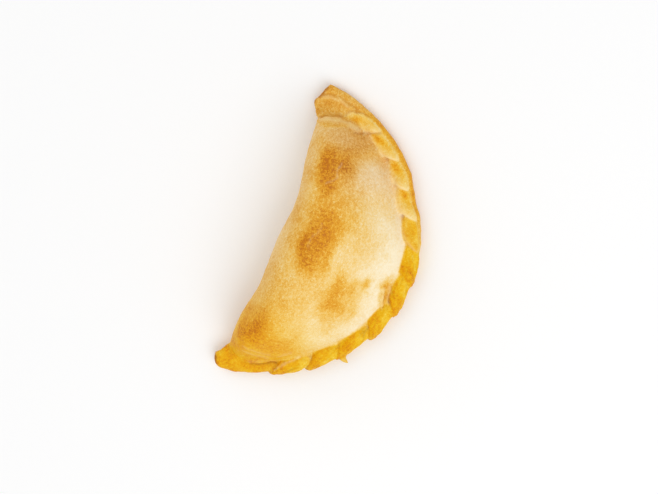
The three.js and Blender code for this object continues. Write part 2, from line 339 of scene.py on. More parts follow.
def node_maker(tree):
    """A short way to add a node to a tree, with what goes into it and its settings."""

    def node(kind, inputs=(), **settings):
        made = tree.nodes.new(kind)
        for key, value in settings.items():
            setattr(made, key, value)
        for key, value in dict(inputs).items():
            if isinstance(value, Field):
                value = value.socket
            if isinstance(value, bpy.types.NodeSocket):
                tree.links.new(value, made.inputs[key])
            else:
                made.inputs[key].default_value = value
        return made.outputs

    return node


rope_angles = np.linspace(0, pi, ROPE_POINTS)
rope_core = rim_core(rope_angles)
rope_points = on_rim(rope_angles, rope_core["inward"], rope_core["middle"])
rope_steps = np.linalg.norm(np.diff(rope_points, axis=0), axis=1)
rope_lengths = np.concatenate([[0], np.cumsum(rope_steps)])

rope_line = bpy.data.meshes.new("rope_line")
rope_line.from_pydata(rope_points.tolist(), [(i, i + 1) for i in range(ROPE_POINTS - 1)], [])
core_sizes = [rope_core["half_width"], rope_core["half_height"], np.zeros(ROPE_POINTS)]
core_size = rope_line.attributes.new("core_size", "FLOAT_VECTOR", "POINT")
core_size.data.foreach_set("vector", np.stack(core_sizes, axis=-1).ravel())
rope_object = bpy.data.objects.new("rope_line", rope_line)
bpy.context.collection.objects.link(rope_object)

fold_number = np.arange(len(FOLD_ANGLES))
fold_progress = fold_number / (len(FOLD_ANGLES) - 1)
fold_plumpness = ease(np.array(FOLD_ANGLES), *PLUMP_FROM)


def uneven(name):
    """By how much each fold's size differs from the rule, as a factor."""
    share, start = UNEVEN[name]
    return 1 + share * np.sin(UNEVEN_STEP * fold_number + start)


fold_sizes = {
    "place": np.interp(FOLD_ANGLES, rope_angles, rope_lengths),
    "long": mix(*FOLD_LENGTHS, fold_plumpness) * uneven("long"),
    "half_width": mix(*FOLD_HALF_WIDTHS, fold_plumpness) * uneven("half_width"),
    "slant": mix(*FOLD_SLANTS, fold_progress) * uneven("slant"),
    "lift": mix(*FOLD_LIFTS, fold_progress) * uneven("lift"),
    "shift": FOLD_SHIFTS,
    "dish": mix(*FOLD_DISHES, fold_plumpness),
    "back": mix(*BACK_HEIGHTS, fold_plumpness),
    "back_round": mix(*BACK_ROUNDINGS, fold_plumpness),
    "wrap": mix(*FOLD_WRAPS, fold_plumpness),
    "bend": mix(*FOLD_BENDS, ease(np.array(FOLD_ANGLES), *BENDS_GROW)),
    "number": fold_number,
}
fold_marks = bpy.data.meshes.new("fold_marks")
fold_marks.from_pydata([(float(i), 0, 0) for i in fold_number], [], [])
for name, values in fold_sizes.items():
    marks = fold_marks.attributes.new(name, "FLOAT", "POINT")
    marks.data.foreach_set("value", np.asarray(values, dtype=np.float32))
folds_object = bpy.data.objects.new("folds", fold_marks)
bpy.context.collection.objects.link(folds_object)


def crimp_tree():
    """Lays a leaf of dough round the rope at each mark."""
    tree = bpy.data.node_groups.new("crimp", "GeometryNodeTree")
    entries = {
        "Marks": ("NodeSocketGeometry", None),
        "Rope": ("NodeSocketObject", None),
        "Round": ("NodeSocketInt", 56),
        "Lengthwise": ("NodeSocketInt", 72),
        "Width Taper": ("NodeSocketFloat", 0.58),
        "Fuller Start": ("NodeSocketFloat", 0.35),
        "Height Taper": ("NodeSocketFloat", 0.5),
        "Rooting": ("NodeSocketFloat", 0.85),
        "Root Narrowing": ("NodeSocketFloat", 0.35),
        "Edge Rounding": ("NodeSocketFloat", 0.3),
        "Dish Spread": ("NodeSocketFloat", 0.6),
        "Dish Offset": ("NodeSocketFloat", 0.15),
        "Bend Power": ("NodeSocketFloat", 2.5),
        "Dough": ("NodeSocketMaterial", None),
    }
    for name, (kind, value) in entries.items():
        socket = tree.interface.new_socket(name, in_out="INPUT", socket_type=kind)
        if value is not None:
            socket.default_value = value
    tree.interface.new_socket("Folds", in_out="OUTPUT", socket_type="NodeSocketGeometry")
    given = tree.nodes.new("NodeGroupInput").outputs
    node = node_maker(tree)

    def size(name):
        return Field(tree, given[name])

    def kept(name):
        return Field(tree, node("GeometryNodeInputNamedAttribute", {"Name": name})["Attribute"])

    def keep(geometry, name, value):
        return node(
            "GeometryNodeStoreNamedAttribute",
            {"Geometry": geometry, "Name": name, "Value": value},
        )["Geometry"]

    grid = node(
        "GeometryNodeMeshGrid",
        {
            "Vertices X": given["Round"],
            "Vertices Y": given["Lengthwise"],
            "Size X": 2 * pi,
            "Size Y": pi,
        },
    )["Mesh"]
    place = node("ShaderNodeSeparateXYZ", {0: node("GeometryNodeInputPosition")[0]})
    leaf = keep(grid, "round", Field(tree, place["X"]))
    leaf = keep(leaf, "along", Field(tree, place["Y"]).sine())
    leaves = node("GeometryNodeInstanceOnPoints", {"Points": given["Marks"], "Instance": leaf})
    leaves = node("GeometryNodeRealizeInstances", {"Geometry": leaves["Instances"]})["Geometry"]

    along, aside, up = kept("along"), kept("round").cosine(), kept("round").sine()
    over = up.above(0.0)
    body = ((along * along) * -1.0 + 1.0).math("MAXIMUM", 0.0)
    fuller = along * size("Fuller Start") * -1.0 + 1.0
    across = aside * (body ** size("Width Taper")) * fuller * kept("half_width")
    to_edge = aside * 0.5 + 0.5
    rise = kept("lift") * (to_edge * (kept("back") * -1.0 + 1.0) + kept("back"))
    rounding = to_edge * (size("Edge Rounding") - kept("back_round")) + kept("back_round")
    aside_of_dish = (aside + size("Dish Offset")) / size("Dish Spread")
    ahead_of_dish = (along + size("Dish Offset")) / size("Dish Spread")
    off_middle = aside_of_dish**2.0 + ahead_of_dish**2.0
    dish = (off_middle * -1.0).math("EXPONENT") * kept("dish") * up
    face = rise * (up.math("ABSOLUTE") ** rounding) - dish
    taper = body ** size("Height Taper")
    height = taper * face * over
    down = (up * -1.0).math("MAXIMUM", 0.0)

    slant = kept("slant")
    half = along * kept("long") * 0.5
    onward = half * slant.cosine() + across * slant.sine()
    turned_over = kept("bend") * (along.math("MAXIMUM", 0.0) ** size("Bend Power"))
    inward = across * slant.cosine() - half * slant.sine() - kept("shift") - turned_over
    rope = node("GeometryNodeObjectInfo", {"Object": given["Rope"]})["Geometry"]
    rope = node("GeometryNodeMeshToCurve", {"Mesh": rope})["Curve"]
    spot = node(
        "GeometryNodeSampleCurve",
        {
            "Curves": rope,
            "Length": kept("place") + onward,
            "Value": node(
                "GeometryNodeInputNamedAttribute", {"Name": "core_size"}, data_type="FLOAT_VECTOR"
            )["Attribute"],
        },
        mode="LENGTH",
        data_type="FLOAT_VECTOR",
    )
    core = node("ShaderNodeSeparateXYZ", {0: spot["Value"]})
    half_width, half_height = Field(tree, core["X"]), Field(tree, core["Y"])
    turn = inward / (half_width + kept("lift") * kept("wrap"))
    inwards = node(
        "ShaderNodeVectorMath", {0: spot["Tangent"], 1: (0, 0, 1)}, operation="CROSS_PRODUCT"
    )["Vector"]
    reach = half_width + turn.above(0.0).choose(taper * rise, height)
    narrowed = down * size("Root Narrowing") * -1.0 + 1.0
    sideways = node(
        "ShaderNodeVectorMath",
        {0: inwards, "Scale": reach * turn.sine() * narrowed},
        operation="SCALE",
    )["Vector"]
    rooted = down * size("Rooting") * -1.0 + 1.0
    above_core = (half_height + height) * turn.cosine() * rooted
    upwards = node("ShaderNodeCombineXYZ", {"Z": above_core})["Vector"]
    aside_point = node("ShaderNodeVectorMath", {0: spot["Position"], 1: sideways}, operation="ADD")
    point = node("ShaderNodeVectorMath", {0: aside_point["Vector"], 1: upwards}, operation="ADD")
    folds = node("GeometryNodeSetPosition", {"Geometry": leaves, "Position": point["Vector"]})
    folds = node("GeometryNodeMergeByDistance", {"Geometry": folds["Geometry"], "Distance": 1e-6})
    dough = {"Geometry": folds["Geometry"], "Material": given["Dough"]}
    folds = node("GeometryNodeSetMaterial", dough)["Geometry"]
    tree.links.new(folds, tree.nodes.new("NodeGroupOutput").inputs["Folds"])
    return tree


crust_material = bpy.data.materials.new("baked_crust")


def grown(holder, tree, values, name):
    """The plain mesh that a node tree makes on an object, with the tree's named inputs set."""
    modifier = holder.modifiers.new(tree.name, "NODES")
    modifier.node_group = tree
    for item in tree.interface.items_tree:
        if item.in_out == "INPUT" and item.name in values:
            modifier[item.identifier] = values[item.name]
    seen = holder.evaluated_get(bpy.context.evaluated_depsgraph_get())
    made = bpy.data.meshes.new_from_object(seen)
    made.name = name
    holder.modifiers.remove(modifier)
    return made


crimp_parts = {"Rope": rope_object, "Dough": crust_material}
folds = grown(folds_object, crimp_tree(), crimp_parts, "folds")
bpy.data.objects.remove(folds_object)
bpy.data.objects.remove(rope_object)

# A small tail of dough sticks out where one fold ends.
TAIL_FROM = (radians(130.4), 0.0050)  # angle along the rim, and how far in
TAIL_TO = (radians(128.6), -0.0016)
TAIL_HEIGHT = 0.0045
TAIL_HALF_SIZE = 0.0016
TAIL_TAPER = 0.7  # below 1, the tail is fullest nearer its root


def tail_skin(u, v):
    angle, inward = (mix(start, end, v) for start, end in zip(TAIL_FROM, TAIL_TO))
    half_size = TAIL_HALF_SIZE * np.sin(pi * v**TAIL_TAPER)
    aside, up = half_size * np.cos(2 * pi * u), half_size * np.sin(2 * pi * u)
    return on_rim(angle, inward, TAIL_HEIGHT) + np.stack([aside, np.zeros_like(u), up], axis=-1)


tail = closed_skin("tail", tail_skin, around=20, lengthwise=20)


# ---- The crust -------------------------------------------------------------------
# The pocket, the rim and the folds are one skin of wheat dough. They are joined here
# into one closed surface, which then gets its wrinkles, the marks that baking leaves and painted
# shade.

VOXEL = 0.00047
SOFTENED = 4  # rounds
REST_X, REST_Y = -0.0001, 0.0320  # from the disc's centre to the middle of the finished empanada

joined = bmesh.new()
for part in (rim, pocket, folds, tail):
    joined.from_mesh(part)
whole = bpy.data.meshes.new("empanada_skins")
joined.to_mesh(whole)
joined.free()
crust = bpy.data.objects.new("empanada_crust", whole)
bpy.context.collection.objects.link(crust)
melt = crust.modifiers.new("melt", "REMESH")
melt.mode = "VOXEL"
melt.voxel_size = VOXEL
soften = crust.modifiers.new("soften", "SMOOTH")
soften.factor = 0.5
soften.iterations = SOFTENED
seen = crust.evaluated_get(bpy.context.evaluated_depsgraph_get())
skin = bpy.data.meshes.new_from_object(seen)
crust.modifiers.clear()
crust.data = skin
skin.name = "empanada_crust"


def keep_outer_skin(mesh):
    """Fills the tiny pockets of air left where the skins meet."""
    shape = bmesh.new()
    shape.from_mesh(mesh)
    ahead = [max(shape.verts, key=lambda corner: corner.co.z)]
    reached = set(ahead)
    while ahead:
        corner = ahead.pop()
        for edge in corner.link_edges:
            other = edge.other_vert(corner)
            if other not in reached:
                reached.add(other)
                ahead.append(other)
    hidden = [corner for corner in shape.verts if corner not in reached]
    bmesh.ops.delete(shape, geom=hidden, context="VERTS")
    shape.to_mesh(mesh)
    shape.free()


keep_outer_skin(skin)


def numbers_of(items, name, width=1):
    """One property of a mesh's points, or of an attribute's values, as an array."""
    flat = np.empty(len(items) * width, dtype=np.float32)
    items.foreach_get(name, flat)
    numbers = flat.astype(float)
    return numbers.reshape(-1, width) if width > 1 else numbers


points = numbers_of(skin.vertices, "co", 3)
outwards = numbers_of(skin.vertices, "normal", 3)
edge_ends = np.empty(len(skin.edges) * 2, dtype=np.int32)
skin.edges.foreach_get("vertices", edge_ends)
one_end, other_end = edge_ends.reshape(-1, 2).T
neighbours = np.bincount(edge_ends, minlength=len(points))


def evened(values, times):
    """Numbers, one for each point, evened out over the surface."""
    for _ in range(times):
        around = np.bincount(one_end, values[other_end], len(values))
        around += np.bincount(other_end, values[one_end], len(values))
        values = (values + around / neighbours) / 2
    return values


def hollowness(times):
    """How far each point lies below its surroundings, in metres."""
    smooth = np.stack([evened(column, times) for column in points.T], axis=-1)
    return np.sum((smooth - points) * outwards, axis=-1)


NOISE_REACH = 1.6  # brings smooth noise to about -1 to 1
SEED_STEP = (7.3, 3.1, 5.7)  # far enough for another seed to look unlike


def lumps(size, seed):
    """Soft uneven numbers, from about -1 to 1, with lumps of one size."""
    start = Vector([seed * step for step in SEED_STEP])
    lumpy = [noise.noise(Vector(point) / size + start) for point in points.tolist()]
    return NOISE_REACH * np.array(lumpy)


def wander(size, reach, seed):
    """A soft shift of each point in plan, as far as about the reach."""
    return np.stack([lumps(size, seed), lumps(size, seed + 1)], axis=-1) * reach


def bump(distance, width):
    """1 where the distance is 0, falling softly to 0 around it."""
    return np.exp(-((distance / width) ** 2))


# Each point's place on the rim, and on the face of the fold that it belongs to.
DEEPEST = 0.030  # no place further in than this is needed
NEAR_ROPE = 0.013
FACE_EDGE = (0.0003, 0.0007)  # a point this far from a fold's face no longer belongs to it
FACE_UPPER = (0, 0.12)  # and neither does its underside
ROUNDS = 4  # of coming closer to each point's distance in from the outline
inward = np.zeros(len(points))
for _ in range(ROUNDS):
    reach_x, reach_y = RIM_REACH_X - inward, RIM_REACH_Y - inward
    inward += (1 - np.hypot(points[:, 0] / reach_x, points[:, 1] / reach_y)) * RIM_REACH_X
    inward = np.minimum(inward, DEEPEST)
angle = np.arctan2(-points[:, 1] / (RIM_REACH_Y - inward), points[:, 0] / (RIM_REACH_X - inward))

fold_points = numbers_of(folds.vertices, "co", 3)
fold_search = kdtree.KDTree(len(fold_points))
for index, point in enumerate(fold_points):
    fold_search.insert(point, index)
fold_search.balance()
by_rope = np.flatnonzero(inward < NEAR_ROPE)
finds = [fold_search.find(point) for point in points[by_rope]]
nearest = np.zeros(len(points), dtype=int)
nearest[by_rope] = [found[1] for found in finds]
away = np.full(len(points), 1.0)
away[by_rope] = [found[2] for found in finds]


def on_fold(name):
    """Each point's number out of those that the nearest place on the folds keeps."""
    return numbers_of(folds.attributes[name].data, "value")[nearest]


fold_round, fold_along, fold_index = on_fold("round"), on_fold("along"), on_fold("number")
fold_side = np.cos(fold_round)
fold_face = (1 - ease(away, *FACE_EDGE)) * ease(np.sin(fold_round), *FACE_UPPER)
fold_face = evened(fold_face, 2)
plump = fold_plumpness[fold_index.astype(int)]

points += [REST_X, REST_Y, -points[:, 2].min()]
x, y, z = points.T


# Wrinkles, creases and cracks in the dough, in millimetres: the points that each runs
# through, its half width and how far it stands up, or sinks in where that is below 0. The
# last number is how pale it has baked, or, where that is below 0, how dark it is painted:
# painted shadow at the cut edges, and browning with painted shade in the creases.
CREASES = {
    "hooked crack": (
        ((37.9, 9.4), (34.9, 9.7), (32.2, 8.9), (30.6, 9.8), (28.6, 12.0)), 0.24, 0.16, 0.38,
    ),
    "crack": (((14.2, 7.0), (10.5, 7.2), (7.8, 8.8), (3.9, 9.3)), 0.24, 0.14, 0.22),
    # The dark lines along the flap's and the nub's cut edges are painted shadow.
    "painted shadow at the flap's cut edge": (((56.4, 29.5), (58.9, 28.3), (60.7, 27.5)), 0.6, 0, -1.2),
    "painted shadow at the flap's corner": (((53.2, 30.3), (54.2, 30.6), (55.1, 30.3)), 0.45, 0, -0.9),
    "painted shadow at the nub's cut edge": (
        ((-61.3, 30.1), (-60.4, 31.0), (-59.4, 31.6), (-58.0, 32.1)), 0.55, 0, -1.2,
    ),
    # The creases below with a tone under 0 are browning with painted shade laid in them.
    "flap's outer crease": (
        ((57.5, 27.9), (58.9, 25.1), (58.9, 20.9), (57.9, 16.8), (57.1, 12.6)), 0.4, -0.28, -0.35,
    ),
    "flap's ridge": (((56.7, 28.4), (57.7, 25.1), (57.8, 21.0), (56.9, 17.1)), 0.5, 0.15, 0.3),
    "flap's fold": (((49.5, 26.1), (51.5, 22.8), (52.1, 20.2), (52.1, 17.8)), 0.42, -0.45, -0.6),
    "flap's welt": (
        ((48.9, 25.1), (50.5, 21.6), (51.1, 18.1), (51.1, 14.1), (49.9, 9.6)), 0.8, 0.45, 0.45,
    ),
    "behind the first fold": (
        ((52.9, 16.8), (54.5, 16.5), (56.1, 14.6), (56.7, 11.2), (56.4, 7.8)), 0.35, -0.3, -0.45,
    ),
    "before the second fold": (((48.8, 10.2), (49.9, 6.1), (51.8, 1.2)), 0.35, -0.35, -0.5),
    "nub's crease": (((-55.1, 16.6), (-52.9, 12.4), (-50.4, 7.4)), 0.42, -0.32, -0.85),
    "nub's fold": (((-53.7, 18.0), (-51.7, 13.0), (-49.4, 8.0)), 0.5, 0.2, 0.12),
    "last fold's lip": (((-43.8, -0.9), (-46.3, 1.2), (-50.8, 5.2), (-53.5, 7.0)), 0.28, 0.2, 0.5),
    "stretch by the nub": (((-46.1, 20.1), (-46.7, 15.1), (-46.5, 10.1)), 0.6, 0.1, 0.15),
    "second stretch": (((-48.7, 20.1), (-49.1, 15.6), (-48.5, 10.6)), 0.6, 0.1, 0.15),
    "third stretch": (((-46.1, 7.1), (-42.6, 2.3)), 0.5, 0.12, 0.2),
    "ruck inside the rope": (((-12.5, -24.2), (-8.5, -23.3), (-4.5, -22.3)), 0.45, 0.55, 0.4),
    "second ruck": (((-10.5, -26.0), (-6.5, -24.9), (-3.0, -24.0)), 0.45, 0.55, 0.4),
}


def from_line(line):
    """Each point's distance, in plan, from a line through a few places in millimetres."""
    line = np.array(line) * MM
    nearest_yet = np.full(len(points), np.inf)
    for start, end in zip(line[:-1], line[1:]):
        way = end - start
        share = np.clip(((points[:, :2] - start) @ way) / (way @ way), 0, 1)
        apart = points[:, :2] - start - share[:, None] * way
        nearest_yet = np.minimum(nearest_yet, np.hypot(*apart.T))
    return nearest_yet


wobble = wander(size=0.003, reach=0.0003, seed=1) + wander(size=0.001, reach=0.00025, seed=3)
plan = points[:, :2].copy()
points[:, :2] += wobble
topside = ease(outwards[:, 2], 0.1, 0.4)
raised = np.zeros(len(points))
paled = np.zeros(len(points))
painted_shade = np.zeros(len(points))
# Tones below 0 go into the painted shade and shadow, and tones above 0 into the pale dough.
for line, half_width, rise, tone in CREASES.values():
    mark = bump(from_line(line), half_width * MM) * topside
    raised += rise * MM * mark
    paled = np.maximum(paled, max(tone, 0) * mark)
    painted_shade = np.maximum(painted_shade, max(-tone, 0) * mark)
points[:, :2] = plan

# The dough runs together softly between the filling and the two ends of the rim.
MELTED = 110  # rounds of evening out
MELTED_SHARE = 0.8
MELTED_ENDS = (radians(66), radians(76))  # from the middle of the rim
MELTED_ABOVE = (0.003, 0.0045)
by_ends = ease(np.abs(angle - pi / 2), *MELTED_ENDS) * topside
raised += MELTED_SHARE * np.maximum(hollowness(MELTED), 0) * by_ends * ease(z, *MELTED_ABOVE)

# The pits beside the folds are shallow, most of all on the nub's half.
PIT = 26  # rounds of evening out
PITS_FROM = (0.004, 0.006)  # inwards from the outline
PITS_TO = (0.013, 0.016)
PITS_FILLED = (0.5, 1.0)  # shares, on the flap's half and the nub's
PITS_CHANGE = (radians(60), radians(90))
pits = np.maximum(hollowness(PIT), 0) * topside * ease(inward, *PITS_FROM)
pits *= 1 - ease(inward, *PITS_TO)
raised += mix(*PITS_FILLED, ease(angle, *PITS_CHANGE)) * pits

# Fine pleats run along the folds.
PLEAT_LENGTH, PLEAT_WIDTH = 0.45, 0.16  # shares of a fold's half sizes
PLEAT_HEIGHTS = (0.00005, 0.00022)  # on dished folds and on plump ones
PLEAT_STEP = 7.7  # far enough for the next fold's pleats to look unlike
pleats = np.zeros(len(points))
fold_places = zip(fold_along[by_rope], fold_side[by_rope], fold_index[by_rope])
pleats[by_rope] = [
    noise.noise(Vector((ahead / PLEAT_LENGTH, aside / PLEAT_WIDTH, PLEAT_STEP * number)))
    for ahead, aside, number in fold_places
]
pleats *= NOISE_REACH * fold_face
raised += mix(*PLEAT_HEIGHTS, plump) * pleats

# The whole skin is lumpy: the size of the lumps, their height on the pocket and on the rim,
# and a seed. The base stays flat.
LUMPS = ((0.014, 0.00030, 0.00015, 5), (0.0035, 0.00008, 0.00022, 6), (0.0014, 0.00005, 0.00005, 7))
LUMPY_RIM = (0.007, 0.012)  # where the rim's lumps end, inwards from the outline
FLAT_BASE = (0.0008, 0.004)
on_pocket_share = ease(inward, *LUMPY_RIM)
for size, on_pocket, on_rope, seed in LUMPS:
    raised += mix(on_rope, on_pocket, on_pocket_share) * lumps(size, seed)
points += outwards * (raised * ease(z, *FLAT_BASE))[:, None]
skin.vertices.foreach_set("co", points.astype(np.float32).ravel())
skin.update()
outwards = numbers_of(skin.vertices, "normal", 3)
x, y, z = points.T

# The browning. Patches are given by their middle, half length and half width in millimetres,
# their heading in degrees and their depth of colour, from 0 to 1.
PATCHES = {
    "over the filling's end": (37.6, 14.8, 7.2, 5.4, 8, 0.66),
    "beside it": (30.5, 12.8, 7.0, 3.6, 15, 0.5),
    "its fringe": (37.0, 8.6, 7.5, 4.4, 0, 0.44),
    "on the crest": (4.5, 12.4, 8.0, 3.4, -3, 0.5),
    "upper middle": (15.5, 13.8, 9.0, 3.6, 0, 0.17),
    "broad one": (11.9, 5.0, 13.0, 6.6, -12, 0.46),
    "below it": (0.5, 0.8, 5.5, 3.0, 0, 0.26),
    "its left part": (-3.1, 7.6, 6.0, 4.0, 10, 0.35),
    "above the middle": (-16.0, 15.5, 12.0, 5.0, 0, 0.14),
    "above the nub": (-36.9, 21.2, 9.0, 5.4, -10, 0.54),
    "beside the nub": (-49.0, 24.8, 5.0, 5.0, 0, 0.3),
    "beneath": (-37.0, 15.2, 7.0, 4.6, 0, 0.3),
    "haze by the nub": (-43.6, 8.6, 9.5, 9.5, 0, 0.2),
    "middle one": (-11.8, -6.9, 8.0, 5.2, 0, 0.38),
    "its left": (-17.5, -8.8, 8.5, 4.6, -10, 0.36),
    "its right": (-4.7, -8.4, 4.5, 3.4, 20, 0.34),
    "small one": (-5.5, -15.4, 3.6, 2.0, 0, 0.48),
    "on the rucks": (-7.2, -24.7, 6.0, 2.2, 4, 0.62),
    "by the second fold": (44.4, 2.8, 4.6, 7.5, -30, 0.22),
    "by the flap": (48.5, 10.1, 2.6, 6.0, -8, 0.22),
}
PALE_PATCHES = {
    "spot": (-5.1, 2.6, 3.6, 2.0, 0, 0.15),
    "left field": (-24.1, -1.4, 7.0, 5.5, 0, 0.2),
    "by the flap": (43.4, 13.6, 3.4, 8.0, -12, 0.2),
    "by the third fold": (35.4, -3.4, 4.0, 8.5, -35, 0.2),
}
PATCH_POWER = 1.15  # the higher, the crisper a patch's edge
warp = wander(size=0.008, reach=0.0022, seed=8) + wander(size=0.0022, reach=0.0008, seed=10)


def patchwork(patches):
    """How deeply the patches have coloured each point."""
    clear = np.ones(len(points))
    for middle_x, middle_y, half_length, half_width, heading, depth in patches.values():
        apart = points[:, :2] + warp - np.array([middle_x, middle_y]) * MM
        ahead = apart @ [cos(radians(heading)), sin(radians(heading))] / (half_length * MM)
        aside = apart @ [-sin(radians(heading)), cos(radians(heading))] / (half_width * MM)
        clear *= 1 - depth * np.exp(-((ahead**2 + aside**2) ** PATCH_POWER))
    return 1 - clear


# Between the patches the crust is pale by the rope and gets sandier towards the folded side:
# by how much, and from where to where.
PALEST = 0.04
SANDIER = ((0.19, -0.021, -0.009), (0.16, -0.006, 0.006))
browned = patchwork(PATCHES)
sandy = PALEST + sum(deeper * ease(y, start, end) for deeper, start, end in SANDIER)
toast = sandy + 0.07 * lumps(0.011, 12) + 0.04 * lumps(0.004, 13)
toast = toast * (1 - patchwork(PALE_PATCHES)) + browned * (1 - 0.3 * sandy)


def soft_place(middle_x, middle_y, reach_x, reach_y):
    """1 in the middle of a place, given in millimetres, falling softly to 0 around it."""
    return bump(x - middle_x * MM, reach_x * MM) * bump(y - middle_y * MM, reach_y * MM)


def place_on_fold(side, along, side_reach, along_reach):
    """The same on the face of each fold, in shares of the fold's half sizes."""
    return bump(fold_side - side, side_reach) * bump(fold_along - along, along_reach)


def laid_over(under, over, cover):
    """One tone over another, where the cover is 1."""
    return under * (1 - cover) + over * cover


# The rim's parts, as shares from 0 to 1 that each point has of them. The flank is the rope
# beside and below the folds, and its outer side on the flap's half has browned most.
ROPE_TONE_ENDS = (-0.0006, 0.0010)  # inwards from the core's inner edge
NUB_TONE_ENDS = (-0.0010, 0.0035)
OUTER_SIDE = (0.0006, 0.0024)  # outwards from the core's middle
FLAP_TONE_TO = (radians(15), radians(25))
NUB_TONE_FROM = (radians(150), radians(161))
FLANK_CHANGES = (radians(56), radians(80))
core = rim_core(angle)
past_core = inward - core["inward"] - core["half_width"]
on_core = 1 - ease(past_core, *ROPE_TONE_ENDS)
by_flap = on_core * (1 - ease(angle, *FLAP_TONE_TO))
by_nub = (1 - ease(past_core, *NUB_TONE_ENDS)) * ease(angle, *NUB_TONE_FROM)
flank = on_core * (1 - by_flap) * (1 - by_nub)
outer_side = ease(core["inward"] - inward, *OUTER_SIDE)
nub_side = ease(angle, *FLANK_CHANGES)

# How deep each of them has baked, how yellow it is, and how mottled.
BAKED = {"flap": 0.57, "nub": 0.56, "inner flank": 0.30, "outer flank": 0.66, "nub's flank": 0.28}
YELLOW = {"flap": 0.2, "nub": 0.95, "inner flank": 0.35, "outer flank": 0.65, "nub's flank": 0.6}
MOTTLED = {"flap": 0.10, "nub": 0.16, "flank": 0.06, "folds": 0.08, "base": 0.12}


def flank_of(tones):
    """The flank's tone at each point, out of a table of the rim's tones."""
    by_flap_side = mix(tones["inner flank"], tones["outer flank"], outer_side)
    return mix(by_flap_side, tones["nub's flank"], nub_side)


mottle = lumps(0.003, 14)
toast = laid_over(toast, flank_of(BAKED) + MOTTLED["flank"] * mottle, flank)
flap_toast = BAKED["flap"] + MOTTLED["flap"] * mottle + 0.06 * lumps(0.008, 15)
toast = laid_over(toast, flap_toast, by_flap)
toast = laid_over(toast, BAKED["nub"] + MOTTLED["nub"] * mottle, by_nub)

# The dished folds keep a pale raised lip round a golden middle with a darker spot in it. The
# plump ones have baked to a yellow gold all over, deeper towards the free edge.
GOLDEN_FROM = (radians(58), radians(78))  # the change comes between these angles
FOLD_BAKED = {"dished": 0.23, "plump": 0.35}
MORE_BAKED = {"dish": 0.18, "spot": 0.28, "free edge": 0.21, "outer end": 0.07, "pleats": 0.18}
FOLD_YELLOW = {"dished": 0.32, "dish": 0.45, "plump": 1.0}
LIP_SIDE, LIP_END = (0.5, 0.85), (0.78, 0.97)  # where the lip begins, in shares of the half sizes
LIP_PALE = 0.7
FIRST_DISH = 0.7  # the first fold's dish and lip show less than the others'
FIRST_LIP = 0.5
golden = ease(np.array(FOLD_ANGLES), *GOLDEN_FROM)[fold_index.astype(int)]
first_fold = fold_index < 0.5
dish = place_on_fold(side=-0.4, along=-0.1, side_reach=0.7, along_reach=0.75)
dish *= np.where(first_fold, FIRST_DISH, 1)
spot = place_on_fold(side=-0.3, along=-0.35, side_reach=0.3, along_reach=0.3)
lip = np.maximum(ease(fold_side, *LIP_SIDE), ease(fold_along, *LIP_END))
free_edge = ease(fold_side + 0.5 * fold_along, -0.45, 0.3)
dished_toast = FOLD_BAKED["dished"] + MORE_BAKED["dish"] * dish + MORE_BAKED["spot"] * spot
plump_toast = FOLD_BAKED["plump"] + MORE_BAKED["free edge"] * free_edge
plump_toast += MORE_BAKED["outer end"] * fold_along + MORE_BAKED["pleats"] * pleats
fold_toast = mix(dished_toast, plump_toast, golden) + MOTTLED["folds"] * mottle
toast = laid_over(toast, fold_toast, fold_face)
lip *= np.where(first_fold, FIRST_LIP, 1) * (1 - golden) * fold_face
paled = np.maximum(paled, LIP_PALE * lip)

# The pocket is yellow by the nub and where it has browned. A painted grey shade lies by the
# second and third folds, inside the flap and along the folded side.
GOLDEN_PLACE = (-49, 17, 22, 25)
BROWNED_YELLOW = 0.65
# The last number of each place is how deep its painted grey shade is.
GREY_SHADE_PLACES = ((36.5, -4, 9, 14, 0.75), (46, 11, 6, 13, 0.8))  # with how dull each is
GREY_SHADE_ON_FOLDED_SIDE = 0.45
FOLDED_SIDE = (0.013, 0.023)
GREY_SHADE_ON_FLAP = 0.2
gold = np.maximum(soft_place(*GOLDEN_PLACE), BROWNED_YELLOW * browned)
gold = laid_over(gold, flank_of(YELLOW), flank)
gold = laid_over(gold, YELLOW["flap"], by_flap)
gold = laid_over(gold, YELLOW["nub"], by_nub)
dished_yellow = FOLD_YELLOW["dished"] + FOLD_YELLOW["dish"] * dish
gold = laid_over(gold, mix(dished_yellow, FOLD_YELLOW["plump"], golden), fold_face)
off_core = 1 - on_core
painted_grey_shade = GREY_SHADE_ON_FOLDED_SIDE * ease(y, *FOLDED_SIDE) * off_core * (1 - gold)
for *place, shade_depth in GREY_SHADE_PLACES:
    painted_grey_shade = np.maximum(painted_grey_shade, shade_depth * soft_place(*place) * off_core)
painted_grey_shade = np.maximum(painted_grey_shade, GREY_SHADE_ON_FLAP * by_flap)

# The base lay on the tray, and browned evenly there.
BASE_BAKED = 0.62
BASE_TONE_TO = (0.0006, 0.0035)  # upwards from the table
base = (1 - ease(z, *BASE_TONE_TO)) * (1 - topside)
base_toast = BASE_BAKED + MOTTLED["base"] * mottle + 0.1 * lumps(0.009, 16)
toast = laid_over(toast, base_toast, base)

# Painted shade in seams and hollows: rounds of evening out, depth from where to where, and by how
# much.
HOLLOW_SHADE = ((4, 0.00003, 0.00014, 0.5), (24, 0.0001, 0.0006, 0.12))
painted_hollow_shade = sum(depth * ease(hollowness(times), start, end) for times, start, end, depth in HOLLOW_SHADE)
painted_shade = np.maximum(painted_shade, painted_hollow_shade)

for name, values in {
    "toast": toast,
    "gold": gold,
    "painted_grey_shade": painted_grey_shade,
    "paled": paled,
    "painted_shade": painted_shade,
}.items():
    layer = skin.attributes.new(name, "FLOAT", "POINT")
    layer.data.foreach_set("value", np.clip(evened(values, 1), 0, 1).astype(np.float32))
skin.shade_smooth()
skin.materials.clear()
skin.materials.append(crust_material)


def colour(red, green, blue):
    """A colour as a paint chart gives it, out of 255, for a shader's socket."""
    parts = np.array([red, green, blue]) / 255
    linear = np.where(parts < 0.04045, parts / 12.92, ((parts + 0.055) / 1.055) ** 2.4)
    return (*linear.tolist(), 1)


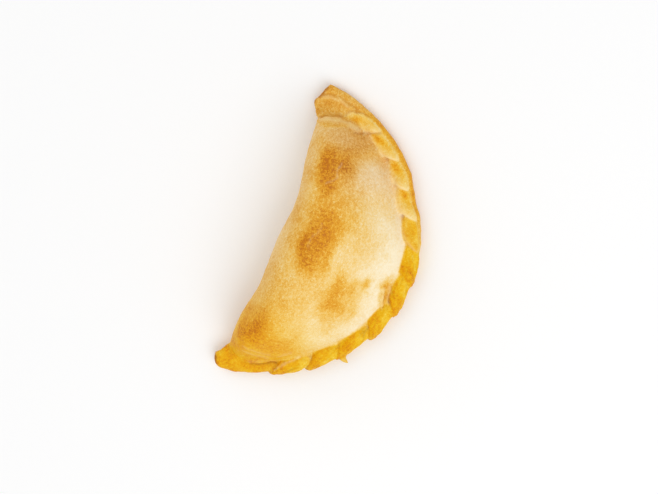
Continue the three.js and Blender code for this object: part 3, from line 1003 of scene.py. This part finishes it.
# Each row of tones runs from barely baked to well browned.
CRUMB_TONES = [
    (251, 238, 206), (245, 217, 156), (240, 197, 106), (231, 170, 60), (219, 148, 38), (196, 118, 26),
]
GOLD_TONES = [
    (248, 220, 110), (243, 202, 58), (237, 184, 16), (232, 166, 0), (222, 142, 0), (190, 104, 0),
]
# The tones of the painted grey shade, from barely baked to well browned.
GREY_SHADE_TONES = [
    (244, 228, 200), (238, 210, 166), (230, 188, 132), (216, 164, 98), (196, 138, 72), (166, 106, 48),
]
PALE_DOUGH = (251, 229, 172)
# The brown of the painted shade in creases and hollows and of the painted shadow at the cut edges,
# and how much of it shows.
PAINTED_SHADE_BROWN = (168, 92, 24)
PAINTED_SHADE_COVER = 0.8
GRAIN_SIZE = 0.0011
FINE_GRAIN_SIZE = 0.00045
GRAIN_ROUGHNESS = 0.6
GRAIN_DEPTH = 0.00022
GRAIN_STRENGTH = 0.8
GRAIN_SHOWS = (0.24, 0.95)  # on unbaked dough, and how much more where it has browned
FINE_GRAIN_SHOWS = (0.26, 0.8)
PALE_GRAIN = (0.2, -0.14)  # on sandy dough, and the change where it is golden
ROUGHNESS = (0.62, -0.14)
ROUGHNESS_ENDS = (0.3, 0.9)
SPECULAR = 0.1


def crust_shader(material):
    """Crust tones by how baked each place is, broken up by the dough's grain, with painted shade and
    shadow laid over them.
    """
    material.use_nodes = True
    tree = material.node_tree
    shader = tree.nodes["Principled BSDF"]
    node = node_maker(tree)
    place = node("ShaderNodeTexCoord")["Object"]

    def layer(name):
        return Field(tree, node("ShaderNodeAttribute", attribute_name=name)["Fac"])

    def grain(size, detail):
        noise_sizes = {"Scale": 1 / size, "Detail": detail, "Roughness": GRAIN_ROUGHNESS}
        return Field(tree, node("ShaderNodeTexNoise", {"Vector": place, **noise_sizes})["Fac"]) - 0.5

    def grows(sizes, share):
        """A size that is the first number, and changes by the second where the share is 1."""
        return share * sizes[1] + sizes[0]

    def tone(tones, baked):
        toned = node("ShaderNodeValToRGB", {"Fac": baked})["Color"]
        ramp = toned.node.color_ramp
        while len(ramp.elements) < len(tones):
            ramp.elements.new(0.5)
        for index, (element, chart) in enumerate(zip(ramp.elements, tones)):
            element.position = index / (len(tones) - 1)
            element.color = colour(*chart)
        return toned

    def blended(under, over, share):
        made = node("ShaderNodeMix", {"Factor": share}, data_type="RGBA")[2].node
        for entry, value in ((made.inputs[6], under), (made.inputs[7], over)):
            if isinstance(value, bpy.types.NodeSocket):
                tree.links.new(value, entry)
            else:
                entry.default_value = colour(*value)
        return made.outputs[2]

    toast, gold = layer("toast"), layer("gold")
    coarse, fine = grain(GRAIN_SIZE, 2.0), grain(FINE_GRAIN_SIZE, 1.0)
    baked = toast + coarse * grows(GRAIN_SHOWS, toast) + fine * grows(FINE_GRAIN_SHOWS, toast)
    baked = baked.limited(0.0, 1.0)
    # Painted grey shade over the crumb's tones.
    tint = blended(tone(CRUMB_TONES, baked), tone(GREY_SHADE_TONES, baked), layer("painted_grey_shade"))
    tint = blended(tint, tone(GOLD_TONES, baked), gold)
    pale_cover = layer("paled") + coarse * grows(PALE_GRAIN, gold)
    tint = blended(tint, PALE_DOUGH, pale_cover.limited(0.0, 1.0))
    # Painted shade and shadow over all the tones.
    tint = blended(tint, PAINTED_SHADE_BROWN, (layer("painted_shade") * PAINTED_SHADE_COVER).limited(0.0, 1.0))
    tree.links.new(tint, shader.inputs["Base Color"])
    roughness = (coarse * 0.2 + grows(ROUGHNESS, gold)).limited(*ROUGHNESS_ENDS)
    tree.links.new(roughness.socket, shader.inputs["Roughness"])
    relief = node(
        "ShaderNodeBump",
        {"Height": coarse + fine * 0.5, "Strength": GRAIN_STRENGTH, "Distance": GRAIN_DEPTH},
    )["Normal"]
    tree.links.new(relief, shader.inputs["Normal"])
    shader.inputs["Specular IOR Level"].default_value = SPECULAR


crust_shader(crust_material)

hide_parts("empanada")
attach(crust, "root")


# ---- The stage -------------------------------------------------------------------
# A plain pale floor and soft studio light, stronger from the rim's side. The camera looks
# down from almost overhead.

FLOOR_HALF = 3.0
FLOOR_WHITE = 0.97
corners = [(FLOOR_HALF * a, FLOOR_HALF * b, 0) for a, b in ((-1, -1), (1, -1), (1, 1), (-1, 1))]
floor_mesh = bpy.data.meshes.new("floor")
floor_mesh.from_pydata(corners, [], [(0, 1, 2, 3)])
floor = bpy.data.objects.new("floor", floor_mesh)
bpy.context.collection.objects.link(floor)
floor_paper = bpy.data.materials.new("floor_paper")
floor_paper.use_nodes = True
floor_shader = floor_paper.node_tree.nodes["Principled BSDF"]
floor_shader.inputs["Base Color"].default_value = (FLOOR_WHITE, FLOOR_WHITE, FLOOR_WHITE, 1)
floor_shader.inputs["Roughness"].default_value = 0.9
floor_shader.inputs["Specular IOR Level"].default_value = 0.1
floor_mesh.materials.append(floor_paper)

CAMERA_TILT = radians(12)
CAMERA_LEAN = (0.875, -0.485)  # the way the camera leans off the vertical, in plan
CAMERA_DISTANCE = 0.64
CAMERA_TARGET = Vector((REST_X, -0.0004, 0.010))
IMAGE_UP = Vector((0.9336, 0.3584, 0))
IMAGE_SIZE = (658, 494)
PIXELS_PER_METRE = 2513.2
TARGET_PIXEL = (336.69, 256.89)
SENSOR_WIDTH = 36

lean = Vector((*CAMERA_LEAN, 0)).normalized()
back = Vector((0, 0, cos(CAMERA_TILT))) + lean * sin(CAMERA_TILT)
up = (IMAGE_UP - back * IMAGE_UP.dot(back)).normalized()
right = up.cross(back)
camera_data = bpy.data.cameras.new("camera")
camera_data.sensor_width = SENSOR_WIDTH
camera_data.lens = SENSOR_WIDTH * PIXELS_PER_METRE * CAMERA_DISTANCE / IMAGE_SIZE[0]
camera_data.clip_start = 0.01
camera = bpy.data.objects.new("camera", camera_data)
bpy.context.collection.objects.link(camera)
aside_x = (TARGET_PIXEL[0] - IMAGE_SIZE[0] / 2) / PIXELS_PER_METRE
aside_y = (TARGET_PIXEL[1] - IMAGE_SIZE[1] / 2) / PIXELS_PER_METRE
eye = CAMERA_TARGET + back * CAMERA_DISTANCE - right * aside_x + up * aside_y
turned = Matrix((right, up, back)).transposed().to_4x4()
camera.matrix_world = Matrix.Translation(eye) @ turned
bpy.context.scene.camera = camera

STUDIO_LIGHT = 0.70
world = bpy.data.worlds.new("studio")
bpy.context.scene.world = world
world.use_nodes = True
world.node_tree.nodes["Background"].inputs["Color"].default_value = (1, 1, 1, 1)
world.node_tree.nodes["Background"].inputs["Strength"].default_value = STUDIO_LIGHT


def soft_box(name, direction, distance, size, power):
    lamp = bpy.data.lights.new(name, "AREA")
    lamp.shape = "SQUARE"
    lamp.size = size
    lamp.energy = power
    holder = bpy.data.objects.new(name, lamp)
    bpy.context.collection.objects.link(holder)
    towards = Vector(direction).normalized()
    holder.location = CAMERA_TARGET + towards * distance
    holder.rotation_euler = towards.to_track_quat("Z", "Y").to_euler()


soft_box("key_light", direction=(-0.41, -0.91, 1.3), distance=1.2, size=0.9, power=5.0)
soft_box("fill_light", direction=(0.30, 0.95, 0.9), distance=1.2, size=1.2, power=2.5)
bpy.context.scene.view_settings.view_transform = "Standard"
